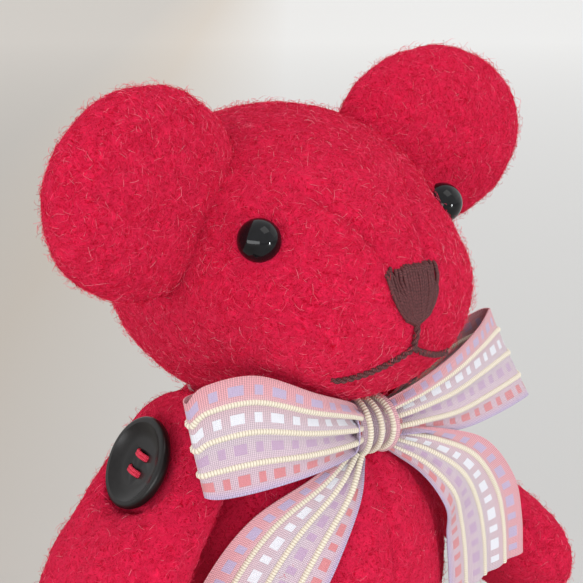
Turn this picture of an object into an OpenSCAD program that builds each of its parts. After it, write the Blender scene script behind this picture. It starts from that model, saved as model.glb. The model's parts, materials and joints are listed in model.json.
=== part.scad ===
// Thread-jointed felt teddy bear, standing on its soles.
// Frame: +Z up, the bear faces -Y, its left side is +X, origin under its middle on the floor.

/* [Height] */
// Height of the neck joint above the soles
neck_h = 128; // [122:1:136]
// Distance from the neck joint's axis back to the middle of the bear's depth
neck_back = 6; // [4:0.5:8]

/* [Head] */
// Width of the crown of the head
head_w = 76; // [72:1:78]
// Depth of the crown of the head
head_d = 74; // [72:1:76]
// Height of the crown of the head
head_h = 64; // [62:1:66]
// Width of the muzzle
muzzle_w = 63; // [61:1:64]
// Depth of the muzzle
muzzle_d = 46; // [44:1:48]
// Height of the muzzle
muzzle_h = 44; // [42:1:46]
// Diameter of an ear
ear_d = 47; // [44:1:50]
// Thickness of an ear
ear_t = 17; // [14:1:18]
// Diameter of an eye
eye_d = 9; // [8:0.5:10]
// Width of the embroidered nose
nose_w = 14.5; // [13:0.5:16]

/* [Body] */
// Width and depth of the body at its middle
body_w = 76; // [72:1:78]
// Height of the egg that the body is cut from
body_h = 98; // [96:1:100]
// Thickness of the felt
felt_t = 1.8; // [1.2:0.1:2.4]

/* [Limbs] */
// Tilt of the shoulder joints, upwards and outwards
shoulder_tilt = 29.5; // [28:0.5:31]
// How far the right arm is swung forward at rest
right_swing = 0; // [0:1:6]
// How far the left arm is swung forward at rest
left_swing = 5; // [2:1:8]
// Length of an arm below its joint
arm_reach = 74; // [70:1:76]
// Tilt of the hip joints, downwards and outwards
hip_tilt = 8; // [7:0.5:9]
// Height of the hip joints below the neck
hip_drop = 74; // [72:1:76]
// Diameter of a button
button_d = 20; // [18:1:22]
// Thickness of a button
button_t = 3.4; // [3:0.2:4]

/* [Ribbon] */
// Width of the ribbon
ribbon_w = 25; // [22:1:27]
// Length of each loop of the bow
loop_l = 44; // [40:1:46]

/* [Hidden] */
clear = 0.3;
gap = 0.05;
head_fn = 24;
limb_fn = 16;
round_fn = 48;
head_c = [0, -1, 31];
muzzle_c = [0, -24.6, 24];
body_c = [0, -5, -42];
body_top = -8;
neck_r = 16;
sides = [-1, 1];

shoulder_y = -8.3;
shoulder_plane = 18.5;
hip_y = -4;
hip_plane = 37;
sole_z = -neck_h;
sole_t = 1.8;
seam_half = 0.15;
thread_r = 0.9;

ear_c = [41, -11.3, 52.6];
ear_turn = 8;
eye_c = [26.3, -28.5, 41.4];
eye_out = 35;
eye_up = 6;

disc_r = 12;
disc_t = 2;
pin_r = 1.2;
pin_fit = 0.06;
washer_r = 4.5;
washer_t = 0.8;

red_felt = "crimson";
wadding = "ivory";
board = "burlywood";
black_plastic = "#181818";
steel = "silver";
red_thread = "#c01030";
brown_floss = "#4a2a30";
lilac_ribbon = "#d9c4e4";

// ---- helpers ----

// Everything is laid out from the neck joint and lifted to stand on the soles.
module standing() {
    translate([0, neck_back, neck_h]) children();
}

module egg(size, centre, fn) {
    translate(centre) scale(size / 2) sphere(r = 1, $fn = fn);
}

function grow(size, by) = [size[0] + 2 * by, size[1] + 2 * by, size[2] + 2 * by];

// Triangles of a skin over m rings of n points each, closed at both ends.
function skin_faces(m, n) = concat(
    [for (i = [0:m - 2], k = [0:n - 1]) [i * n + k, (i + 1) * n + k, i * n + (k + 1) % n]],
    [for (i = [0:m - 2], k = [0:n - 1]) [i * n + (k + 1) % n, (i + 1) * n + k, (i + 1) * n + (k + 1) % n]],
    [for (k = [1:n - 2]) [0, k, k + 1]],
    [for (k = [1:n - 2]) [(m - 1) * n, (m - 1) * n + k + 1, (m - 1) * n + k]]);

// A tube of small radius along a list of points, with rings square to the path.
function unit(v) = v / norm(v);
function along(p, i) = unit(p[min(i + 1, len(p) - 1)] - p[max(i - 1, 0)]);
function ring(p, i, r, n, up) =
    let (t = along(p, i), a = unit(cross(t, up)), b = cross(t, a))
    [for (k = [0:n - 1]) p[i] + r * (cos(360 * k / n) * a + sin(360 * k / n) * b)];
module tube(p, r, n = 8, up = [0, 0, 1]) {
    m = len(p);
    polyhedron(points = [for (i = [0:m - 1]) each ring(p, i, r, n, up)], faces = skin_faces(m, n));
}

// A flat strip through a list of [middle, half-width vector, half-thickness vector].
module strip(rows) {
    m = len(rows);
    pts = [for (r = rows) each [r[0] - r[1] - r[2], r[0] + r[1] - r[2], r[0] + r[1] + r[2], r[0] - r[1] + r[2]]];
    polyhedron(points = pts, faces = skin_faces(m, 4));
}

// ---- head ----

module head_form(by = 0) {
    hull() {
        egg(grow([head_w, head_d, head_h], by), head_c, head_fn);
        egg(grow([muzzle_w, muzzle_d, muzzle_h], by), muzzle_c, head_fn);
    }
}

// The underside is drawn in flat over the neck disc.
module head_solid(by = 0) {
    difference() {
        head_form(by);
        translate([-60, -60, -20 - by]) cube([120, 120, 20 + 1.2]);
    }
}

module eye_place(side) {
    translate([side * eye_c[0], eye_c[1], eye_c[2]])
        rotate([0, 0, side * eye_out]) rotate([90 - eye_up, 0, 0]) children();
}

module eye_holes(r, deep) {
    for (side = sides) eye_place(side) translate([0, 0, -deep]) cylinder(r = r, h = deep + 8, $fn = 24);
}

module head_shell() {
    difference() {
        head_solid();
        head_solid(-felt_t);
        eye_holes(1.3, 9);
        translate([0, 0, -5]) cylinder(r = pin_r + 0.4, h = 12, $fn = 24);
    }
}

// The gusset runs from the nose over the crown to the nape, widest between the ears.
module gusset_region() {
    linear_extrude(height = 90)
        polygon([[-5, -50], [5, -50], [8, -38], [19, -22], [22, -4], [17, 16], [8, 30], [5, 44],
                 [-5, 44], [-8, 30], [-17, 16], [-22, -4], [-19, -22], [-8, -38]]);
}

module head_side(side) {
    difference() {
        intersection() {
            head_shell();
            translate([side > 0 ? seam_half : -60, -60, -10]) cube([60 - seam_half, 120, 90]);
        }
        translate([0, 0, 34]) gusset_region();
    }
}

module head_side_left() {
    color(red_felt) standing() head_side(1);
}
module head_side_right() {
    color(red_felt) standing() head_side(-1);
}
module head_gusset() {
    color(red_felt) standing() intersection() {
        head_shell();
        translate([0, 0, 34 + 2 * seam_half]) gusset_region();
    }
}
module head_stuffing() {
    color(wadding) standing() difference() {
        head_solid(-felt_t - gap);
        eye_holes(1.3, 9);
        for (side = sides) eye_place(side) translate([0, 0, -8.6]) cylinder(r = washer_r + gap, h = 1.4, $fn = 24);
        translate([0, 0, -1]) cylinder(r = disc_r + gap, h = 4 + disc_t, $fn = round_fn);
        translate([0, 0, 0]) cylinder(r = washer_r + gap, h = 9, $fn = 24);
    }
}

// ---- ears, eyes and embroidery ----

// A half oval, drawn from its bottom to its top on the right of the axis.
function half_oval(r, h, n) = [for (i = [0:n]) [r * cos(180 * i / n - 90), h * sin(180 * i / n - 90)]];
module ear_form(side, by) {
    translate([side * ear_c[0], ear_c[1], ear_c[2]]) rotate([0, 0, -side * ear_turn]) rotate([90, 0, 0])
        rotate_extrude($fn = round_fn) polygon(half_oval(ear_d / 2 + by, ear_t / 2 + by, 12));
}
module ear_cut() {
    translate(head_c) sphere(r = head_w / 2 + gap, $fn = round_fn);
}
module ear(side) {
    difference() {
        ear_form(side, 0);
        ear_form(side, -felt_t);
        ear_cut();
    }
}
module ear_wadding(side) {
    difference() {
        ear_form(side, -felt_t - gap);
        ear_cut();
    }
}
module ear_left() {
    color(red_felt) standing() ear(1);
}
module ear_right() {
    color(red_felt) standing() ear(-1);
}
module ear_left_wadding() {
    color(wadding) standing() ear_wadding(1);
}
module ear_right_wadding() {
    color(wadding) standing() ear_wadding(-1);
}

// A glossy dome on a post, pushed through the felt.
module eye(side) {
    eye_place(side) rotate_extrude($fn = round_fn)
        intersection() {
            union() {
                circle(r = eye_d / 2, $fn = round_fn);
                translate([0, -8.8]) square([1.2, 8.8]);
            }
            union() {
                translate([0, -1.2]) square([eye_d, eye_d]);
                translate([0, -9]) square([1.2, 9]);
            }
        }
}
module eye_left() {
    color(black_plastic) standing() eye(1);
}
module eye_right() {
    color(black_plastic) standing() eye(-1);
}
module eye_washers() {
    color("white") standing() for (side = sides) eye_place(side)
        translate([0, 0, -8.5]) difference() {
            cylinder(r = washer_r, h = 1.2, $fn = 24);
            translate([0, 0, -1]) cylinder(r = 1.25, h = 4, $fn = 24);
        }
}

// Satin stitches over the tip of the muzzle, in a shield shape.
module nose_outline() {
    polygon([[-nose_w / 2, 36.5], [nose_w / 2, 36.5], [nose_w / 2, 32], [nose_w / 2 - 1.6, 28],
             [nose_w / 2 - 4, 24.6], [0, 23], [-nose_w / 2 + 4, 24.6], [-nose_w / 2 + 1.6, 28], [-nose_w / 2, 32]]);
}
module nose_embroidery() {
    tip_r = 27;
    tip = [0, muzzle_c[1] - muzzle_d / 2 + tip_r, muzzle_c[2] + 2];
    color(brown_floss) standing() intersection() {
        difference() {
            translate(tip) sphere(r = tip_r + 1, $fn = round_fn);
            translate(tip) sphere(r = tip_r + gap, $fn = round_fn);
        }
        translate([0, -30, 0]) rotate([90, 0, 0]) linear_extrude(height = 25) nose_outline();
    }
}

// A point of the muzzle's surface at a sideways place x and a height z.
function muzzle_y(x, z, out) =
    let (a = muzzle_w / 2 + out, b = muzzle_d / 2 + out, c = muzzle_h / 2 + out)
    muzzle_c[1] - b * sqrt(max(0, 1 - pow(x / a, 2) - pow((z - muzzle_c[2]) / c, 2)));
mouth_half = 17;
mouth_top = 18;
mouth_end = 12;
function smile_z(x) = mouth_end + (mouth_top - mouth_end) * pow(1 - abs(x) / mouth_half, 2);
module mouth_embroidery() {
    out = 0.75;
    line_r = 0.6;
    color(brown_floss) standing() union() {
        tube([for (i = [-8:8]) let (x = i * mouth_half / 8) [x, muzzle_y(x, smile_z(x), out), smile_z(x)]], line_r);
        tube([for (i = [0:3]) let (z = mouth_top + i * 1.6) [0, muzzle_y(0, z, out), z]], line_r, 8, [1, 0, 0]);
    }
}

// ---- neck joint ----

module neck_disc_upper() {
    color(board) standing() translate([0, 0, 3]) difference() {
        cylinder(r = disc_r, h = disc_t, $fn = round_fn);
        translate([0, 0, -1]) cylinder(r = pin_r + gap, h = disc_t + 2, $fn = 24);
    }
}
module neck_disc_lower() {
    color(board) standing() translate([0, 0, -3 - disc_t]) difference() {
        cylinder(r = disc_r, h = disc_t, $fn = round_fn);
        translate([0, 0, -1]) cylinder(r = pin_r + pin_fit, h = disc_t + 2, $fn = 24);
    }
}
module neck_washer() {
    color(steel) standing() translate([0, 0, -3 - disc_t - washer_t]) difference() {
        cylinder(r = washer_r, h = washer_t, $fn = round_fn);
        translate([0, 0, -1]) cylinder(r = pin_r + pin_fit, h = washer_t + 2, $fn = 24);
    }
}
// Split pin: its eye rests on a washer in the head, and its tail is spread under the body's washer.
module neck_pin() {
    top = 3 + disc_t;
    low = -3 - disc_t - washer_t;
    color(steel) standing() union() {
        translate([0, 0, low - 1.4]) cylinder(r = pin_r, h = top - low + 2.6, $fn = 24);
        translate([0, 0, top + gap]) cylinder(r = washer_r, h = washer_t, $fn = round_fn);
        translate([0, 0, top + 1]) cylinder(r = 2.2, h = 1.4, $fn = 24);
        translate([-3.2, -0.8, low - 1.5]) cube([6.4, 1.6, 1.2]);
    }
}

// ---- body ----

// A line square to a limb's joint: its outward direction in the X-Z plane.
function out_dir(side, tilt) = [side * cos(tilt), 0, sin(tilt)];

// Everything further out than a plane square to a joint's axis.
module beyond(side, tilt, plane) {
    rotate([0, -side * tilt, 0]) translate([side > 0 ? plane : -plane - 80, -90, -150]) cube([80, 180, 300]);
}

// The egg is round in plan, cut off under the neck and drawn in flat where each limb lies against it.
module body_form(by = 0) {
    difference() {
        union() {
            intersection() {
                translate(body_c) rotate_extrude($fn = round_fn)
                    polygon(half_oval(body_w / 2 + by, body_h / 2 + by, 24));
                translate([-60, -60, -120]) cube([120, 120, 120 + body_top + by]);
            }
            translate([0, 0, body_top - 6]) cylinder(r = neck_r + by, h = 5.2 - body_top + by, $fn = round_fn);
        }
        for (side = sides) beyond(side, -hip_tilt, hip_plane - clear + by);
        for (side = sides) beyond(side, shoulder_tilt, shoulder_plane - clear + by);
    }
}
module body_shell() {
    difference() {
        body_form();
        body_form(-felt_t);
        translate([0, 0, -8]) cylinder(r = pin_r + 0.4, h = 12, $fn = 24);
        shoulder_thread_bore();
        hip_thread_bore();
    }
}
module body_half(side) {
    intersection() {
        body_shell();
        translate([side > 0 ? seam_half : -60, -60, -120]) cube([60 - seam_half, 120, 130]);
    }
}
module body_side_left() {
    color(red_felt) standing() body_half(1);
}
module body_side_right() {
    color(red_felt) standing() body_half(-1);
}
module body_stuffing() {
    color(wadding) standing() difference() {
        body_form(-felt_t - gap);
        translate([0, 0, -3 - disc_t - gap]) cylinder(r = disc_r + gap, h = 12, $fn = round_fn);
        translate([0, 0, -9]) cylinder(r = washer_r + gap, h = 12, $fn = 24);
        shoulder_thread_bore();
        hip_thread_bore();
    }
}

// Where each limb's joint axis meets the body.
shoulder_x = 29.9;
shoulder_z = -15.3;
hip_x = 27;
module across(x, y, z, r) {
    translate([-x, y, z]) rotate([0, 90, 0]) cylinder(r = r, h = 2 * x, $fn = 24);
}
module shoulder_thread_bore() {
    across(shoulder_x + 4, shoulder_y, shoulder_z, thread_r + gap);
}
module hip_thread_bore() {
    across(hip_x + 4, hip_y, -hip_drop, thread_r + gap);
}
module shoulder_thread() {
    color(red_thread) standing() across(shoulder_x - 1, shoulder_y, shoulder_z, thread_r);
}
module hip_thread() {
    color(red_thread) standing() across(hip_x - 1, hip_y, -hip_drop, thread_r);
}

// ---- limbs ----

// A limb is laid out flat: +X is outwards from its inner face, -Z is down the limb, -Y is forward.
module shoulder_place(side, swing) {
    translate([side * shoulder_x, shoulder_y, shoulder_z]) rotate([0, -side * shoulder_tilt, 0])
        rotate([-swing, 0, 0]) scale_side(side) children();
}
module hip_place(side) {
    translate([side * hip_x, hip_y, -hip_drop]) rotate([0, side * hip_tilt, 0]) scale_side(side) children();
}
module scale_side(side) {
    if (side > 0) children();
    else mirror([1, 0, 0]) children();
}
module flat_egg(centre, size) {
    translate(centre) scale(size / 2) sphere(r = 1, $fn = limb_fn);
}

module arm_form(by = 0) {
    hull() {
        flat_egg([6.4, 0, 0], grow([12.2, 37, 38], by));
        flat_egg([11.8, -2, -26], grow([23, 40, 36], by));
        flat_egg([12, -3, 18 - arm_reach], grow([23.4, 36, 36], by));
    }
}
module leg_form(by = 0) {
    hull() {
        flat_egg([9.6, 0, 0], grow([18.6, 42, 42], by));
        flat_egg([13, 1, -36], grow([25.4, 33, 30], by));
    }
}
module foot_form(by = 0) {
    hull() {
        flat_egg([13, 3, -43], grow([25.4, 30, 24], by));
        flat_egg([12.6, -16, -46.5], grow([24.6, 30, 22], by));
    }
}

// Space on one side of a limb's edge seam.
module outer_region(mid) {
    translate([mid + seam_half, -60, -90]) cube([60, 120, 150]);
}
module inner_region(mid) {
    translate([mid - seam_half - 60, -60, -90]) cube([60, 120, 150]);
}
module inner_face(by = 0) {
    translate([clear - by - 60, -60, -90]) cube([60, 120, 150]);
}
arm_mid = 9.5;
leg_mid = 12;
bore_r = 1.6;
module joint_bore() {
    translate([-5, 0, 0]) rotate([0, 90, 0]) cylinder(r = bore_r, h = 40, $fn = 24);
}
// The button pulls a shallow round recess into the limb.
arm_seat = 12.8;
leg_seat = 18.6;
module button_room(seat, by) {
    translate([seat - gap + by, 0, 0]) rotate([0, 90, 0]) cylinder(r = button_d / 2 + 0.4 - by, h = 20, $fn = round_fn);
}

module arm_solid(by) {
    difference() {
        arm_form(by);
        inner_face(by);
        button_room(arm_seat, by);
        joint_bore();
    }
}
module arm_skin() {
    difference() {
        arm_solid(0);
        arm_solid(-felt_t);
        joint_bore();
    }
}
module arm_outer() {
    intersection() {
        arm_skin();
        outer_region(arm_mid);
    }
}
module arm_inner() {
    intersection() {
        arm_skin();
        inner_region(arm_mid);
    }
}
module arm_stuffing() {
    arm_solid(-felt_t - gap);
}

// Four-hole button with a raised rim and a shallow dish, turned about its own middle.
hole_r = 0.95;
hole_at = 2;
module button(seat) {
    r = button_d / 2;
    translate([seat, 0, 0]) rotate([0, 90, 0]) difference() {
        rotate_extrude($fn = round_fn)
            polygon([[0, 0], [r - 2.2, 0], [r - 0.6, 0.9], [r, 2], [r - 0.3, button_t - 0.5], [r - 1, button_t],
                     [r - 1.9, button_t - 0.2], [r - 3.2, button_t - 1.1], [0, button_t - 1.3]]);
        for (a = [45:90:315]) rotate([0, 0, a]) translate([hole_at * sqrt(2), 0, -1])
            cylinder(r = hole_r, h = 6, $fn = 24);
    }
}
// Two short stitches over the button, and the doubled thread behind it down to the inner face.
stitch_r = 0.6;
module stitch(seat) {
    top = seat + button_t - 1.3;
    for (y = sides) translate([top + stitch_r + gap, y * hole_at, -hole_at]) union() {
        cylinder(r = stitch_r, h = 2 * hole_at, $fn = 16);
        for (z = [0, 2 * hole_at]) translate([-1.7, 0, z]) rotate([0, 90, 0])
            cylinder(r = stitch_r, h = 1.9, $fn = 16);
        for (z = [0, 2 * hole_at]) translate([0, 0, z]) sphere(r = stitch_r, $fn = 16);
    }
    translate([clear, 0, 0]) rotate([0, 90, 0]) cylinder(r = 1.3, h = seat - clear - gap, $fn = 24);
}

module leg_solid(by) {
    difference() {
        union() {
            leg_form(by);
            foot_form(by);
        }
        inner_face(by);
        button_room(leg_seat, by);
        joint_bore();
    }
}
// The floor's half-space, up to a height.
module below(z) {
    translate([-90, -90, z - 60]) cube([180, 180, 60]);
}
module leg_skin(side) {
    difference() {
        hip_place(side) difference() {
            leg_solid(0);
            leg_solid(-felt_t);
            joint_bore();
        }
        below(sole_z + sole_t + gap);
    }
}
module leg_outer(side) {
    intersection() {
        leg_skin(side);
        hip_place(side) outer_region(leg_mid);
    }
}
module leg_inner(side) {
    intersection() {
        leg_skin(side);
        hip_place(side) inner_region(leg_mid);
    }
}
module leg_sole(side) {
    intersection() {
        hip_place(side) difference() {
            foot_form();
            inner_face();
        }
        translate([-90, -90, sole_z]) cube([180, 180, sole_t]);
    }
}
module leg_stuffing(side) {
    difference() {
        hip_place(side) leg_solid(-felt_t - gap);
        below(sole_z + sole_t + gap);
    }
}

module arm_left_outer() {
    color(red_felt) standing() shoulder_place(1, left_swing) arm_outer();
}
module arm_left_inner() {
    color(red_felt) standing() shoulder_place(1, left_swing) arm_inner();
}
module arm_left_stuffing() {
    color(wadding) standing() shoulder_place(1, left_swing) arm_stuffing();
}
module arm_left_button() {
    color(black_plastic) standing() shoulder_place(1, left_swing) button(arm_seat);
}
module arm_left_stitch() {
    color(red_thread) standing() shoulder_place(1, left_swing) stitch(arm_seat);
}
module arm_right_outer() {
    color(red_felt) standing() shoulder_place(-1, right_swing) arm_outer();
}
module arm_right_inner() {
    color(red_felt) standing() shoulder_place(-1, right_swing) arm_inner();
}
module arm_right_stuffing() {
    color(wadding) standing() shoulder_place(-1, right_swing) arm_stuffing();
}
module arm_right_button() {
    color(black_plastic) standing() shoulder_place(-1, right_swing) button(arm_seat);
}
module arm_right_stitch() {
    color(red_thread) standing() shoulder_place(-1, right_swing) stitch(arm_seat);
}

module leg_left_outer() {
    color(red_felt) standing() leg_outer(1);
}
module leg_left_inner() {
    color(red_felt) standing() leg_inner(1);
}
module leg_left_sole() {
    color(red_felt) standing() leg_sole(1);
}
module leg_left_stuffing() {
    color(wadding) standing() leg_stuffing(1);
}
module leg_left_button() {
    color(black_plastic) standing() hip_place(1) button(leg_seat);
}
module leg_left_stitch() {
    color(red_thread) standing() hip_place(1) stitch(leg_seat);
}
module leg_right_outer() {
    color(red_felt) standing() leg_outer(-1);
}
module leg_right_inner() {
    color(red_felt) standing() leg_inner(-1);
}
module leg_right_sole() {
    color(red_felt) standing() leg_sole(-1);
}
module leg_right_stuffing() {
    color(wadding) standing() leg_stuffing(-1);
}
module leg_right_button() {
    color(black_plastic) standing() hip_place(-1) button(leg_seat);
}
module leg_right_stitch() {
    color(red_thread) standing() hip_place(-1) stitch(leg_seat);
}

// ---- ribbon ----

// The ribbon lies gathered round the neck and is tied in a bow under the chin.
module ribbon_collar() {
    color(lilac_ribbon) standing() rotate_extrude($fn = round_fn)
        polygon([[neck_r + clear, body_top + clear], [neck_r + 2.4, body_top + clear],
                 [neck_r + 2.8, -4.5], [neck_r + 2, -1.4], [neck_r + clear, -1.4]]);
}
module bow_knot() {
    color(lilac_ribbon) standing() hull() {
        egg([9, 6, 6.4], [0, -22.5, -4.2], 16);
        egg([10.5, 10, 12], [0, -32.5, -3.4], 16);
    }
}
// A loop widens from the knot to its outer end, where the ribbon turns back on itself.
module loop_wedge(side, top_x, low_x) {
    end_y = -31.5;
    hull() {
        egg([4, 7, 8], [side * 7.4, -33.5, -2], 16);
        translate([side * 18 - 1, -41, -8.5]) cube([2, 5.5, 15.5]);
        translate([side * top_x - 1, end_y - 3.5, ribbon_w - 9.5]) cube([2, 7, 1]);
        translate([side * low_x - 1, end_y - 3.5, -9.8]) cube([2, 7, 1]);
    }
}
module left_wedge() {
    loop_wedge(1, loop_l - 4, loop_l + 9);
}
module bow_loop_left() {
    color(lilac_ribbon) standing() left_wedge();
}
module bow_loop_right() {
    color(lilac_ribbon) standing() loop_wedge(-1, loop_l + 2, loop_l - 4);
}
tail_half_t = 0.6;
function tail_rows(p) = [for (q = p) [q[0], q[1], tail_half_t * q[2]]];
// The left tail comes out under the loop above it, and is cut to that loop's lower face.
module bow_tail_left() {
    color(lilac_ribbon) standing() difference() {
        strip(tail_rows([
            [[5.5, -34.5, -6], [0, 0, 4], [0, -1, 0]],
            [[14, -39, -9], [3, 0, 8], [0, -1, 0]],
            [[24, -42, -14], [8, 0, 8], [0, -1, 0]],
            [[29.5, -41.5, -22], [11.5, 0, 4], [0, -1, 0]],
            [[32, -40.5, -32], [12.4, 0, 1], [0, -1, 0]],
            [[34, -40, -44], [12.4, 0, -1], [0, -1, 0]]]));
        left_wedge();
    }
}
module bow_tail_right() {
    color(lilac_ribbon) standing() strip(tail_rows([
        [[-3, -36.5, -9.5], [4, 0, -1.5], [-0.3, -1, 0]],
        [[-8.5, -38.8, -13.5], [7, -3, -4.5], [-0.5, -0.85, 0]],
        [[-17, -38, -21], [8.8, -6.5, -6], [-0.6, -0.8, 0]],
        [[-24.5, -35.8, -34], [8.3, -8, -4.8], [-0.7, -0.7, 0]],
        [[-29.5, -32.5, -49], [8.6, -8.4, -3.4], [-0.7, -0.7, 0]]]));
}

head_side_left();
head_side_right();
head_gusset();
head_stuffing();
ear_left();
ear_right();
ear_left_wadding();
ear_right_wadding();
eye_left();
eye_right();
eye_washers();
nose_embroidery();
mouth_embroidery();
neck_pin();
neck_disc_upper();
neck_disc_lower();
neck_washer();
body_side_left();
body_side_right();
body_stuffing();
shoulder_thread();
hip_thread();
arm_left_outer();
arm_left_inner();
arm_left_stuffing();
arm_left_button();
arm_left_stitch();
arm_right_outer();
arm_right_inner();
arm_right_stuffing();
arm_right_button();
arm_right_stitch();
leg_left_outer();
leg_left_inner();
leg_left_sole();
leg_left_stuffing();
leg_left_button();
leg_left_stitch();
leg_right_outer();
leg_right_inner();
leg_right_sole();
leg_right_stuffing();
leg_right_button();
leg_right_stitch();
ribbon_collar();
bow_knot();
bow_loop_left();
bow_loop_right();
bow_tail_left();
bow_tail_right();
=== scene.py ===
# %% [markdown]
# # A thread-jointed felt teddy bear
# The bear is sewn from thick boiled-wool felt and stuffed hard. This lesson dresses a finished mechanical
# model: the joints, sizes and places are already decided there, and each cell below builds one visible
# piece around it. Everything is in metres, and the bear faces -Y.

# %% Load the frame
import json
import math
import bpy
import numpy as np
from mathutils import Matrix, Vector
from mathutils.bvhtree import BVHTree


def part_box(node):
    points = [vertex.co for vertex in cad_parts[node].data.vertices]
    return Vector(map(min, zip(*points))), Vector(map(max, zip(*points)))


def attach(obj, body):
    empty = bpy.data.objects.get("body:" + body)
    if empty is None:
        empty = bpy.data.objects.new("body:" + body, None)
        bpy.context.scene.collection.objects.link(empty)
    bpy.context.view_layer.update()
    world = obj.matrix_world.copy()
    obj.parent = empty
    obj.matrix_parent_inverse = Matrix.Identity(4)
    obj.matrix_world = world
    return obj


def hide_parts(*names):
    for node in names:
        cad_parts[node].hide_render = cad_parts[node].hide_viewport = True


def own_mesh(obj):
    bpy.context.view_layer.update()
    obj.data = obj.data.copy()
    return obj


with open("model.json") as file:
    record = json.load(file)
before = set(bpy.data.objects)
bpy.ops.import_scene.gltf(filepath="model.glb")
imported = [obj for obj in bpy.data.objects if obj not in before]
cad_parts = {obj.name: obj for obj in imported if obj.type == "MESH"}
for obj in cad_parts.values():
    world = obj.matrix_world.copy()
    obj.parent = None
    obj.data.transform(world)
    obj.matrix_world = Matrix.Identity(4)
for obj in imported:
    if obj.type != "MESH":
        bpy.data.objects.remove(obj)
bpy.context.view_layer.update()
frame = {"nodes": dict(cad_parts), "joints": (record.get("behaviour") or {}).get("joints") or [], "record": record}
joints = {joint["name"]: joint for joint in frame["joints"]}
MM = 0.001

# %% [markdown]
# ## Places
# A maker measures a bear from its neck joint, so every place below is written in millimetres from there:
# x to the bear's left, y to its back, z up. A limb has its own bench frame, as it lies flat while it is
# sewn: x out from its flat inner face, z up the limb, y to its back.

# %% Places on the bear
NECK = Vector(joints["neck_swivel"]["pos_m"])
SHOULDER_TILT = math.radians(29.5)
HIP_TILT = math.radians(-8)
LEFT_ARM_SWING = math.radians(5)
EYE_PLACE = (26.3, -28.5, 41.4)


def at(x, y, z):
    return NECK + Vector((x, y, z)) * MM


def bench(joint_name, side, tilt, swing=0.0):
    """From a limb's bench frame, in metres, to its place on the bear."""
    place = Matrix.Translation(Vector(joints[joint_name]["pos_m"]))
    turn = Matrix.Rotation(-side * tilt, 4, "Y") @ Matrix.Rotation(-swing, 4, "X")
    return place @ turn @ Matrix.Diagonal((side, 1, 1, 1))


LIMBS = {
    "arm_left": bench("shoulder_left", 1, SHOULDER_TILT, LEFT_ARM_SWING),
    "arm_right": bench("shoulder_right", -1, SHOULDER_TILT),
    "leg_left": bench("hip_left", 1, HIP_TILT),
    "leg_right": bench("hip_right", -1, HIP_TILT),
}
print("neck joint at", [round(c * 1000, 1) for c in NECK], "mm")

# %% [markdown]
# ## Camera, floor and light
# A portrait of a toy is taken with a long lens from a little above its eyes. The floor is one big pale
# sheet, so it is also the background, and its colour has painted light: darker and warmer towards the
# camera's left, brighter further back. The light is a soft window above the bear, a low wide one on its
# right and a weak one on its left, and a pale sky fills the shadows. A small low window only shines in the eyes.

# %% Camera
def assign(thing, **values):
    for key, value in values.items():
        setattr(thing, key, value)


LOOK_AT = at(0, -8, 21.5)
CAMERA_TURN, CAMERA_RISE, CAMERA_DISTANCE = math.radians(-41), math.radians(16), 0.320
back = Vector((math.sin(CAMERA_TURN) * math.cos(CAMERA_RISE),
               -math.cos(CAMERA_TURN) * math.cos(CAMERA_RISE), math.sin(CAMERA_RISE)))
bpy.ops.object.camera_add(location=LOOK_AT + back * CAMERA_DISTANCE)
camera = bpy.context.object
camera.rotation_euler = (-back).to_track_quat("-Z", "Y").to_euler()
assign(camera.data, lens=88.3, sensor_width=36, clip_start=0.01, clip_end=60)
bpy.context.scene.camera = camera

# %% Paint tools
def paint(name):
    """A new material, with its node tree and its shader."""
    material = bpy.data.materials.new(name)
    material.use_nodes = True
    tree = material.node_tree
    return material, tree, tree.nodes["Principled BSDF"]


def plug(tree, socket, value):
    """Links value where it is a socket too, else sets it. A colour is given as (r, g, b)."""
    if isinstance(value, bpy.types.NodeSocket):
        tree.links.new(value, socket)
    elif socket.type == "RGBA":
        socket.default_value = (*value, 1)
    else:
        socket.default_value = value


def feed(tree, made, **inputs):
    """Plugs a node's inputs by name, with _ for a space."""
    for key, value in inputs.items():
        plug(tree, made.inputs[key.replace("_", " ")], value)


def node(tree, kind, **values):
    """A shader node with its properties, or with its named inputs, set by keyword."""
    made = tree.nodes.new("ShaderNode" + kind)
    for key, value in values.items():
        if hasattr(made, key):
            setattr(made, key, value)
        else:
            feed(tree, made, **{key: value})
    return made


def math_node(tree, operation, *values):
    made = node(tree, "Math", operation=operation)
    for socket, value in zip(made.inputs, values):
        plug(tree, socket, value)
    return made.outputs[0]


def vector_node(tree, operation, first, second):
    made = node(tree, "VectorMath", operation=operation)
    plug(tree, made.inputs[0], first)
    plug(tree, made.inputs["Scale" if operation == "SCALE" else 1], second)
    return made.outputs["Value" if operation == "DOT_PRODUCT" else "Vector"]


def own_place(tree):
    """A piece's own coordinates, in metres."""
    return node(tree, "TexCoord").outputs["Object"]


def ramp(tree, factor, stops):
    """Colours along a factor: stops is a list of (place, (r, g, b))."""
    made = node(tree, "ValToRGB")
    plug(tree, made.inputs[0], factor)
    while len(made.color_ramp.elements) < len(stops):
        made.color_ramp.elements.new(0.5)
    for element, (place, colour) in zip(made.color_ramp.elements, stops):
        element.position = place
        element.color = (*colour, 1)
    return made.outputs[0]


def bump(tree, shader, height, distance, strength):
    made = node(tree, "Bump", Strength=strength, Distance=distance, Height=height)
    feed(tree, shader, Normal=made.outputs[0])


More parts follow.
